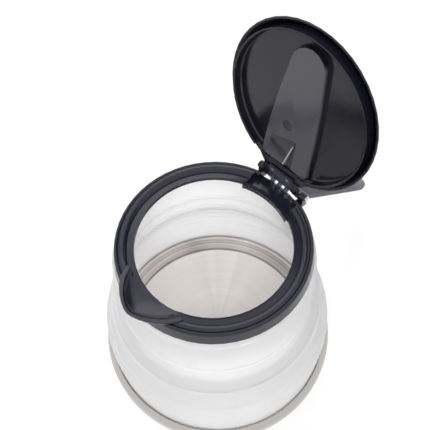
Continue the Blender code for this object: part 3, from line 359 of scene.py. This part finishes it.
def shaded(colour, factor):
    """A colour made lighter or darker."""
    return tuple(channel * factor for channel in colour)


def place(tree):
    """The point on the piece in its own frame."""
    return tree.nodes.new("ShaderNodeTexCoord").outputs["Object"]


def noise(tree, vector, scale, detail=2.0, roughness=0.5):
    """A soft random pattern between 0 and 1."""
    made = add(tree, "ShaderNodeTexNoise", Vector=vector, Scale=scale, Detail=detail, Roughness=roughness)
    return made.outputs["Fac"]


def ranged(tree, value, low, high, start=0.3, end=0.7):
    """Map what lies between start and end, by default the bulk of a noise, onto low to high."""
    made = tree.nodes.new("ShaderNodeMapRange")
    tree.links.new(value, made.inputs["Value"])
    made.inputs["From Min"].default_value = start
    made.inputs["From Max"].default_value = end
    made.inputs["To Min"].default_value = low
    made.inputs["To Max"].default_value = high
    return made.outputs["Result"]


def mixed(tree, share, first, second, blend_type="MIX"):
    """A colour between two others or their product, each given as a colour or a socket."""
    made = tree.nodes.new("ShaderNodeMix")
    made.data_type = "RGBA"
    made.blend_type = blend_type
    feed(tree, made.inputs["Factor"], share)
    for key, colour in (("A", first), ("B", second)):
        feed(tree, made.inputs[key], colour if isinstance(colour, bpy.types.NodeSocket) else (*colour, 1.0))
    return made.outputs["Result"]


def sums(tree, kind, first, second=0.0):
    """One step of arithmetic on sockets or numbers."""
    made = tree.nodes.new("ShaderNodeMath")
    made.operation = kind
    feed(tree, made.inputs[0], first)
    feed(tree, made.inputs[1], second)
    return made.outputs["Value"]


def from_axis(tree, x, y):
    """The distance of a point from the axis."""
    return sums(tree, "SQRT", sums(tree, "ADD", sums(tree, "MULTIPLY", x, x), sums(tree, "MULTIPLY", y, y)))


def relief(tree, shader, height, distance, strength):
    """Raise the surface by a height, after any relief that is there already."""
    made = add(tree, "ShaderNodeBump", Height=height, Distance=distance, Strength=strength)
    slot = shader.inputs["Normal"]
    if slot.links:
        tree.links.new(slot.links[0].from_socket, made.inputs["Normal"])
    tree.links.new(made.outputs["Normal"], slot)


def clouded(tree, shader, pattern, colour, factor):
    """Let the base colour drift towards a lighter or darker one."""
    drift = mixed(tree, ranged(tree, pattern, 0.0, 1.0), colour, shaded(colour, factor))
    tree.links.new(drift, shader.inputs["Base Color"])


def roughened(tree, shader, pattern, low, high):
    """Let the roughness drift between two values."""
    tree.links.new(ranged(tree, pattern, low, high), shader.inputs["Roughness"])


def tinted(tree, shader, share, colour, blend_type="MIX"):
    """Lay a colour over the shader's own colour where the share says so, or multiply by it."""
    below = shader.inputs["Base Color"].links[0].from_socket
    tree.links.new(mixed(tree, share, below, colour, blend_type), shader.inputs["Base Color"])


def tones(tree, value, stops, unit, warmth=(1.0, 1.0, 1.0)):
    """Levels between stops, each a place in the given unit and a level, the dark ones warmer."""
    first, last = stops[0][0], stops[-1][0]
    ramp = tree.nodes.new("ShaderNodeValToRGB")
    tree.links.new(ranged(tree, value, 0.0, 1.0, first * unit, last * unit), ramp.inputs["Fac"])
    elements = ramp.color_ramp.elements
    while len(elements) < len(stops):
        elements.new(0.5)
    for element, (where, level) in zip(elements, stops):
        element.position = (where - first) / (last - first)
        element.color = (*(level * (tint + (1.0 - tint) * level) for tint in warmth), 1.0)
    return ramp.outputs["Color"]


def around(tree, across, along):
    """Coordinates for marks that run round the kettle's axis, on flat and on upright faces."""
    x, y, z = add(tree, "ShaderNodeSeparateXYZ", Vector=place(tree)).outputs
    flat = sums(tree, "MULTIPLY", from_axis(tree, x, y), across)
    upright = sums(tree, "MULTIPLY", z, across * BRUSH_UPRIGHT)
    made = add(
        tree, "ShaderNodeCombineXYZ", X=sums(tree, "ADD", flat, upright),
        Y=sums(tree, "MULTIPLY", x, along), Z=sums(tree, "MULTIPLY", y, along),
    )
    return made.outputs["Vector"]


def closed_along(tree, point, axis):
    """How far along an axis of the closed lid a point of the open lid lies."""
    turned = Matrix.Rotation(LID_TURN, 3, "Y") @ axis
    reach = tree.nodes.new("ShaderNodeVectorMath")
    reach.operation = "DOT_PRODUCT"
    tree.links.new(point, reach.inputs[0])
    reach.inputs[1].default_value = turned
    return sums(tree, "SUBTRACT", reach.outputs["Value"], to_open(Vector((0.0, 0.0, 0.0))).dot(turned))


def seen_by_eye(tree):
    """One for rays from the camera, from gloss or through a piece, zero for light on surfaces."""
    path = tree.nodes.new("ShaderNodeLightPath").outputs
    seen = sums(tree, "MAXIMUM", path["Is Camera Ray"], path["Is Glossy Ray"])
    return sums(tree, "MAXIMUM", seen, path["Is Transmission Ray"])


# ------------------------------------------------------------------- finishes

def silicone_finish(colour):
    """White silicone: soft, slightly see-through, with a fine moulded skin."""
    look, tree, shader = surface("white_silicone", colour, roughness=0.5)
    point = place(tree)
    clouded(tree, shader, noise(tree, point, scale=28.0, detail=3.0), colour, factor=0.98)
    roughened(tree, shader, noise(tree, point, scale=60.0, detail=4.0), low=0.38, high=0.52)
    shader.inputs["Subsurface Weight"].default_value = 1.0
    shader.inputs["Subsurface Radius"].default_value = (1.0, 0.98, 0.96)
    shader.inputs["Subsurface Scale"].default_value = 0.018
    shader.inputs["Specular IOR Level"].default_value = 0.35
    relief(tree, shader, noise(tree, point, scale=2600.0), distance=0.03 * MM, strength=0.35)
    relief(tree, shader, noise(tree, point, scale=130.0), distance=0.12 * MM, strength=0.35)
    return look


def plastic_finish(name, colour, roughness, grain=0.35, specular=0.5):
    """Black moulded plastic with a fine satin texture."""
    look, tree, shader = surface(name, colour, roughness)
    point = place(tree)
    clouded(tree, shader, noise(tree, point, scale=45.0, detail=4.0, roughness=0.6), colour, factor=1.3)
    wear = noise(tree, point, scale=120.0, detail=5.0, roughness=0.65)
    roughened(tree, shader, wear, low=roughness - 0.05, high=roughness + 0.07)
    shader.inputs["Specular IOR Level"].default_value = specular
    relief(tree, shader, noise(tree, point, scale=2400.0), distance=0.05 * MM, strength=grain)
    relief(tree, shader, noise(tree, point, scale=70.0), distance=0.10 * MM, strength=0.25)
    return look


def sheened_liner(look):
    """Paint sheen on the liner's hump and pad and a highlight along the pad's ridge, as painted light."""
    tree = look.node_tree
    shader = tree.nodes["Principled BSDF"]
    point = place(tree)
    lengthwise, sideways, level = (closed_along(tree, point, axis) for axis in Matrix.Identity(3))

    # Painted sheen on the hump's face and pad, and painted highlight on the hump's rounded edges
    beside_pad = ranged(tree, sums(tree, "ABSOLUTE", sideways), 0.0, 1.0, *SHEEN_SIDE)
    lightened = mixed(tree, beside_pad, tones(tree, level, SHEEN_PAD, MM), tones(tree, level, SHEEN_EDGE, MM))
    within = ranged(tree, from_axis(tree, lengthwise, sideways), 1.0, 0.0, *SHEEN_RIM)
    tinted(tree, shader, sums(tree, "MULTIPLY", lightened, within), SHEEN_GREY)

    # Painted highlight: a pale line along the pad's ridge
    across = sums(tree, "SUBTRACT", closed_along(tree, point, RIDGE_ACROSS), RIDGE_POINT.dot(RIDGE_ACROSS))
    line = ranged(tree, sums(tree, "ABSOLUTE", across), 1.0, 0.0, *RIDGE_FADE)
    raised = ranged(tree, level, 1.0, 0.0, *RIDGE_LEVEL)
    inner = ranged(tree, lengthwise, 0.0, 1.0, *RIDGE_END)
    ridge = sums(tree, "MULTIPLY", sums(tree, "MULTIPLY", line, raised), inner)
    tinted(tree, shader, ridge, RIDGE_HIGHLIGHT)
    return look


def turned_steel(name, colour, roughness, across=5200.0, along=26.0, anisotropy=0.65):
    """Stainless steel brushed round the kettle's axis."""
    look, tree, shader = surface(name, colour, roughness, metallic=1.0)
    marks = noise(tree, around(tree, across, along), scale=1.0, detail=3.0, roughness=0.6)
    broad = noise(tree, around(tree, across / BRUSH_BROAD[0], along / BRUSH_BROAD[1]), scale=1.0)
    clouded(tree, shader, broad, colour, factor=0.95)
    roughened(tree, shader, marks, low=roughness - 0.03, high=roughness + 0.06)
    shader.inputs["Anisotropic"].default_value = anisotropy
    tangent = tree.nodes.new("ShaderNodeTangent")
    tangent.direction_type = "RADIAL"
    tangent.axis = "Z"
    tree.links.new(tangent.outputs["Tangent"], shader.inputs["Tangent"])
    relief(tree, shader, marks, distance=0.002 * MM, strength=0.25)
    return look


def stepped_pan(look):
    """Paint fixed reflections on the pan: darker bands on its pressed steps, faint rays of sheen and folds of
    light.
    """
    tree = look.node_tree
    shader = tree.nodes["Principled BSDF"]
    x, y, _ = add(tree, "ShaderNodeSeparateXYZ", Vector=place(tree)).outputs
    distance = from_axis(tree, x, y)
    turn = sums(tree, "ARCTAN2", y, x)
    # Painted reflections: darker bands on the steps, then rays of sheen on the plate and folds of light on the
    # steps
    bands = tones(tree, distance, PAINTED_STEP_BANDS, MM, BAND_WARMTH)
    tinted(tree, shader, 1.0, bands, "MULTIPLY")
    on_steps = ranged(tree, distance, 0.0, 1.0, *PLATE_EDGE)
    rays, folds = tones(tree, turn, PAINTED_PLATE_RAYS, DEGREE), tones(tree, turn, STEP_FOLDS, DEGREE)
    tinted(tree, shader, 1.0, mixed(tree, on_steps, rays, folds), "MULTIPLY")
    return look


def metal_finish(name, colour, roughness):
    """Plain metal with fine random scratches."""
    look, tree, shader = surface(name, colour, roughness, metallic=1.0)
    point = place(tree)
    scratches = noise(tree, point, scale=1500.0, detail=4.0, roughness=0.7)
    roughened(tree, shader, scratches, low=roughness - 0.08, high=roughness + 0.12)
    clouded(tree, shader, noise(tree, point, scale=90.0, detail=3.0), colour, factor=0.8)
    relief(tree, shader, noise(tree, point, scale=1500.0, detail=3.0), distance=0.01 * MM, strength=0.3)
    return look


# ------------------------------------------------------------------ properties

class KettleSizes(bpy.types.PropertyGroup):
    """Sizes of the fine pieces."""

    edge_round: bpy.props.FloatProperty(
        name="Edge Round", description="Rounding of moulded edges", default=0.35 * MM,
        min=0.0, soft_max=MM, unit="LENGTH", precision=5,
    )
    wall: bpy.props.FloatProperty(
        name="Body Wall", description="Thickness of the silicone body", default=1.9 * MM,
        min=MM, soft_max=3.0 * MM, unit="LENGTH", precision=5,
    )
    fold_cut: bpy.props.FloatProperty(
        name="Fold Cut", description="Depth of the folding creases", default=1.1 * MM,
        min=0.3 * MM, soft_max=1.5 * MM, unit="LENGTH", precision=5,
    )


class KettleColours(bpy.types.PropertyGroup):
    """Colours of the finishes."""

    silicone: bpy.props.FloatVectorProperty(
        name="Silicone", description="Colour of the folding body", subtype="COLOR", size=3,
        default=(0.955, 0.95, 0.975), min=0.0, max=1.0,
    )
    plastic: bpy.props.FloatVectorProperty(
        name="Plastic", description="Colour of collar, lid and handle", subtype="COLOR", size=3,
        default=(0.0044, 0.0044, 0.0082), min=0.0, max=1.0,
    )
    steel: bpy.props.FloatVectorProperty(
        name="Steel", description="Colour of the base", subtype="COLOR", size=3,
        default=(0.885, 0.838, 0.81), min=0.0, max=1.0,
    )


def sizes():
    """The sizes set in the panel."""
    return bpy.context.scene.kettle_sizes


def colours():
    """The colours set in the panel."""
    return bpy.context.scene.kettle_colours


# ----------------------------------------------------------------- the pieces

def crease(radius, height, cut):
    """Section of a folding crease from top to bottom, cut into the outside of the wall."""
    return smooth_line(
        [(radius + cut * outward, height + CREASE_HALF * upward) for outward, upward in CREASE_SHAPE], 2,
    )


def inner_line(outside, wall):
    """The line that lies a wall's thickness inside another."""
    inside = []
    for index, point in enumerate(outside):
        before = outside[max(index - 1, 0)]
        after = outside[min(index + 1, len(outside) - 1)]
        along = Vector((after[0] - before[0], after[1] - before[1])).normalized()
        inside.append((point[0] + along.y * wall, point[1] - along.x * wall))
    return inside


def ribbed(line):
    """The wall's inside line with the soft ribs that lie between its creases."""
    dense = [line[0]]
    for first, last in zip(line, line[1:]):
        parts = max(int((Vector(last) - Vector(first)).length / RIB_STEP), 1)
        dense += [tuple(Vector(first).lerp(Vector(last), (part + 1) / parts)) for part in range(parts)]
    ribs = []
    for radius, height in dense:
        swell = sum(math.exp(-(((COLLAR_TOP - height) - depth) / RIB_SPREAD) ** 2) for depth in RIB_DEPTHS)
        ribs.append((radius - RIB_RISE * swell, height))
    return ribs


def body_outline(wall, cut):
    """Section of the silicone body: outside from bead to foot, then back up inside."""
    folds = [crease(*point, cut) for point in section(CREASES, COLLAR_TOP)]
    outside = section(BODY_BEAD, COLLAR_TOP)
    above = []
    for tier, fold in zip(BODY_TIERS, folds + [None]):
        below = fold[:1] if fold else []
        outside += smooth_line(above + section(tier, COLLAR_TOP) + below, 3)
        if fold:
            outside += fold[1:-1]
            above = fold[-1:]
    inside = inner_line(outside, wall)
    inside[0] = (outside[0][0] - wall, outside[0][1])
    inside = ribbed(inside)
    inside[-1] = (outside[-1][0] - wall, outside[-1][1])
    return outside + section(BODY_FOOT) + inside[::-1]


def pan_outline():
    """Section of the pan: flat plate, pressed steps and flange, then back along the underside."""
    upper = list(PAN_PLATE) + smooth_line(PAN_STEP, 3) + smooth_line(PAN_RISE, 3) + list(PAN_FLANGE)
    lower = [(radius, height - PAN_SHEET) for radius, height in reversed(upper)]
    return section(upper + lower)


def ring_outline():
    """Section of the rim ring: down the outside, round the rolled foot and up the inside."""
    outer = smooth_line(RING_OUTSIDE, 4) + arc(RING_ROLL, RING_ROLL_OUTER, -12, -180, 10)
    inner = arc(RING_ROLL, RING_ROLL_INNER, -180, -12, 10) + list(RING_INSIDE)
    return section(outer + inner)


def cover_outline():
    """Section of the disc cover: shallow marks below, the turned-up edge and the inside."""
    under = list(COVER_MARK)
    for start in COVER_GROOVES:
        under += [(start + along, depth) for along, depth in COVER_GROOVE]
    under += arc(COVER_CORNER, COVER_CORNER_OUTER, -90, 0, 8) + list(COVER_LIP)
    under += arc(COVER_CORNER, COVER_CORNER_INNER, 0, -90, 8) + list(COVER_INSIDE)
    return section(under)


class KETTLE_OT_folding_body(bpy.types.Operator):
    """Make the folding silicone body"""

    bl_idname = "kettle.folding_body"
    bl_label = "Folding Body"

    def execute(self, context):
        form = spun(body_outline(sizes().wall, sizes().fold_cut))
        body = piece("folding_body", form, silicone_finish(colours().silicone), "base",
                     ("silicone_body",), BODY_SHARP_ANGLE)
        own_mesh(body)
        return {"FINISHED"}


class KETTLE_OT_base(bpy.types.Operator):
    """Make the steel base: pan, rolled rim ring, disc cover and heat spreader"""

    bl_idname = "kettle.base"
    bl_label = "Steel Base"

    def execute(self, context):
        steel = colours().steel
        # Lighter and darker copies of the steel: painted light and shade on the plate, ring and cover
        plate = stepped_pan(turned_steel("turned_steel", shaded(steel, PLATE_SHADE), roughness=0.3))
        ring = turned_steel("ring_steel", shaded(steel, RING_SHADE), roughness=0.22,
                            across=6400.0, along=18.0, anisotropy=0.5)
        cover = turned_steel("cover_steel", shaded(steel, COVER_SHADE), roughness=0.3,
                             across=3800.0, along=20.0, anisotropy=0.6)
        rolled = metal_finish("rolled_aluminium", ALUMINIUM, roughness=0.42)
        piece("base_pan_finished", spun(pan_outline()), plate, "base", ("base_pan",))
        piece("base_rim_ring_finished", spun(ring_outline()), ring, "base", ("base_rim_ring",))
        piece("base_disc_cover_finished", spun(cover_outline()), cover, "base",
              ("base_disc_cover",))
        softened("heat_spreader_disc", rolled, "base", 0.0)
        return {"FINISHED"}


class KETTLE_OT_collar(bpy.types.Operator):
    """Make the collar with its spout and the ring that holds the body"""

    bl_idname = "kettle.collar"
    bl_label = "Collar and Spout"

    def execute(self, context):
        # A lighter copy of the plastic: painted light on the collar
        black = plastic_finish("collar_plastic", shaded(colours().plastic, COLLAR_SHADE), roughness=0.2,
                               grain=0.1, specular=0.46)
        softened("collar_rim", black, "collar", sizes().edge_round)
        softened("collar_retaining_ring", black, "collar", sizes().edge_round)
        return {"FINISHED"}


class KETTLE_OT_lid(bpy.types.Operator):
    """Make the lid: outer shell, inner liner and hinge leaf with its screws"""

    bl_idname = "kettle.lid"
    bl_label = "Lid"

    def execute(self, context):
        plastic = colours().plastic
        outer = plastic_finish("lid_plastic", plastic, roughness=0.24, grain=0.1)
        liner = sheened_liner(plastic_finish("liner_plastic", plastic, roughness=0.17, grain=0.08))
        # A lighter copy of the plastic: painted light on the hinge leaf
        lightened = plastic_finish("leaf_plastic", shaded(plastic, LEAF_SHADE), roughness=0.34)
        dark = metal_finish("screw_steel", SCREW_STEEL, roughness=0.3)
        softened("lid_outer_shell", outer, "lid", sizes().edge_round, changes=(steep_hump,))
        softened("lid_inner_liner", liner, "lid", sizes().edge_round,
                 changes=(steep_hump, round_hump))
        softened("lid_hinge_leaf", lightened, "lid", sizes().edge_round / 2)
        softened("lid_leaf_screw_1", dark, "lid", 0.0)
        softened("lid_leaf_screw_2", dark, "lid", 0.0)
        return {"FINISHED"}


class KETTLE_OT_hinge(bpy.types.Operator):
    """Make the hinge pin and its clip"""

    bl_idname = "kettle.hinge"
    bl_label = "Hinge Pin"

    def execute(self, context):
        dark = metal_finish("dark_steel", DARK_STEEL, roughness=0.32)
        worn = metal_finish("worn_steel", WORN_STEEL, roughness=0.28)
        softened("hinge_pin", worn, "collar", sizes().edge_round / 2)
        softened("pin_retaining_clip", dark, "collar", 0.0)
        return {"FINISHED"}


class KETTLE_OT_handle(bpy.types.Operator):
    """Make the handle: two covers, inner frame and screws"""

    bl_idname = "kettle.handle"
    bl_label = "Folding Handle"

    def execute(self, context):
        # A lighter copy of the plastic: painted light on the handle
        black = plastic_finish("handle_plastic", shaded(colours().plastic, HANDLE_SHADE), roughness=0.36,
                               grain=0.2)
        steel = metal_finish("handle_screw_steel", colours().steel, roughness=0.28)
        softened("handle_upper_cover", black, "handle", sizes().edge_round)
        softened("handle_lower_cover", black, "handle", sizes().edge_round)
        softened("handle_frame", black, "handle", sizes().edge_round)
        for number in (1, 2, 3):
            softened(f"handle_screw_{number}", steel, "handle", 0.0)
        return {"FINISHED"}


# ------------------------------------------------------------------ the stage

def pale_floor():
    """A plain floor that looks white and keeps the shadow."""
    look, tree, shader = surface("pale_floor", (0.86, 0.86, 0.86), roughness=0.9)
    glow = add(tree, "ShaderNodeEmission", Color=WHITE, Strength=1.0)
    blend = tree.nodes.new("ShaderNodeMixShader")
    tree.links.new(sums(tree, "MULTIPLY", seen_by_eye(tree), FLOOR_GLOW), blend.inputs["Fac"])
    tree.links.new(shader.outputs["BSDF"], blend.inputs[1])
    tree.links.new(glow.outputs["Emission"], blend.inputs[2])
    tree.links.new(blend.outputs["Shader"], tree.nodes["Material Output"].inputs["Surface"])
    return look


def studio_world():
    """A white world that lights the surfaces softly."""
    world = bpy.data.worlds.new("studio")
    world.use_nodes = True
    tree = world.node_tree
    background = tree.nodes["Background"]
    strength = ranged(tree, seen_by_eye(tree), WORLD_ON_SURFACES, 1.0, 0.0, 1.0)
    tree.links.new(strength, background.inputs["Strength"])
    background.inputs["Color"].default_value = WHITE
    return world


def studio_camera():
    """The camera, fitted to the photograph's view of the collar, lid and handle."""
    elevation, roll, turn = math.radians(60.47), math.radians(-2.86), math.radians(-41.5)
    distance, focal, centre_x, centre_y, frame_size = 350.0 * MM, 586.0, 213.43, 241.14, 430.0
    back = Vector((0.0, -math.cos(elevation), math.sin(elevation)))
    up = Vector((0.0, math.sin(elevation), math.cos(elevation)))
    right = Vector((1.0, 0.0, 0.0))
    cosine, sine = math.cos(roll), math.sin(roll)
    swing = Matrix.Rotation(turn, 3, "Z")
    columns = (swing @ (cosine * right + sine * up), swing @ (cosine * up - sine * right), swing @ back)
    data = bpy.data.cameras.new("camera")
    data.sensor_width = 36.0
    data.lens = focal / frame_size * data.sensor_width
    data.shift_x = (frame_size / 2 - centre_x) / frame_size
    data.shift_y = (centre_y - frame_size / 2) / frame_size
    data.clip_start = 0.01
    thing = bpy.data.objects.new("camera", data)
    matrix = Matrix(columns).transposed().to_4x4()
    matrix.translation = Vector((0.0, 0.0, COLLAR_TOP)) + columns[2] * distance
    thing.matrix_world = matrix
    bpy.context.scene.collection.objects.link(thing)
    bpy.context.scene.camera = thing


def lamp(name, direction, distance, size, power, mirrored):
    """A soft square lamp that looks at the kettle, and shows in its gloss or not."""
    data = bpy.data.lights.new(name, "AREA")
    data.shape = "SQUARE"
    data.size = size
    data.energy = power
    thing = bpy.data.objects.new(name, data)
    aim = Vector(direction).normalized()
    thing.location = LAMP_TARGET + aim * distance
    thing.rotation_euler = aim.to_track_quat("Z", "Y").to_euler()
    thing.visible_glossy = mirrored
    bpy.context.scene.collection.objects.link(thing)


class KETTLE_OT_stage(bpy.types.Operator):
    """Make the floor, the soft lamps, the world and the camera"""

    bl_idname = "kettle.stage"
    bl_label = "Stage"

    def execute(self, context):
        form = bmesh.new()
        bmesh.ops.create_grid(form, x_segments=1, y_segments=1, size=FLOOR_SIZE)
        mesh = bpy.data.meshes.new("floor")
        form.to_mesh(mesh)
        form.free()
        mesh.materials.append(pale_floor())
        floor = bpy.data.objects.new("floor", mesh)
        bpy.context.scene.collection.objects.link(floor)
        context.scene.world = studio_world()
        for settings in LAMPS:
            lamp(*settings)
        studio_camera()
        context.scene.view_settings.view_transform = "Standard"
        return {"FINISHED"}


class KETTLE_PT_panel(bpy.types.Panel):
    """The kettle's pieces and finishes"""

    bl_label = "Collapsible Kettle"
    bl_idname = "KETTLE_PT_panel"
    bl_space_type = "VIEW_3D"
    bl_region_type = "UI"
    bl_category = "Kettle"

    def draw(self, context):
        layout = self.layout
        for group in (context.scene.kettle_sizes, context.scene.kettle_colours):
            box = layout.box()
            for key in group.__annotations__:
                box.prop(group, key)
        for operator in OPERATORS:
            layout.operator(operator.bl_idname)


OPERATORS = (
    KETTLE_OT_folding_body, KETTLE_OT_base, KETTLE_OT_collar, KETTLE_OT_lid,
    KETTLE_OT_hinge, KETTLE_OT_handle, KETTLE_OT_stage,
)
CLASSES = (KettleSizes, KettleColours) + OPERATORS + (KETTLE_PT_panel,)


def register():
    """Register the classes and hang the settings on the scene."""
    for item in CLASSES:
        bpy.utils.register_class(item)
    bpy.types.Scene.kettle_sizes = bpy.props.PointerProperty(type=KettleSizes)
    bpy.types.Scene.kettle_colours = bpy.props.PointerProperty(type=KettleColours)


def unregister():
    """Take the settings and the classes away again."""
    del bpy.types.Scene.kettle_colours
    del bpy.types.Scene.kettle_sizes
    for item in reversed(CLASSES):
        bpy.utils.unregister_class(item)


def main():
    """Make the whole kettle on its stage."""
    register()
    bpy.ops.kettle.stage()
    bpy.ops.kettle.folding_body()
    bpy.ops.kettle.base()
    bpy.ops.kettle.collar()
    bpy.ops.kettle.lid()
    bpy.ops.kettle.hinge()
    bpy.ops.kettle.handle()


if __name__ == "__main__":
    main()
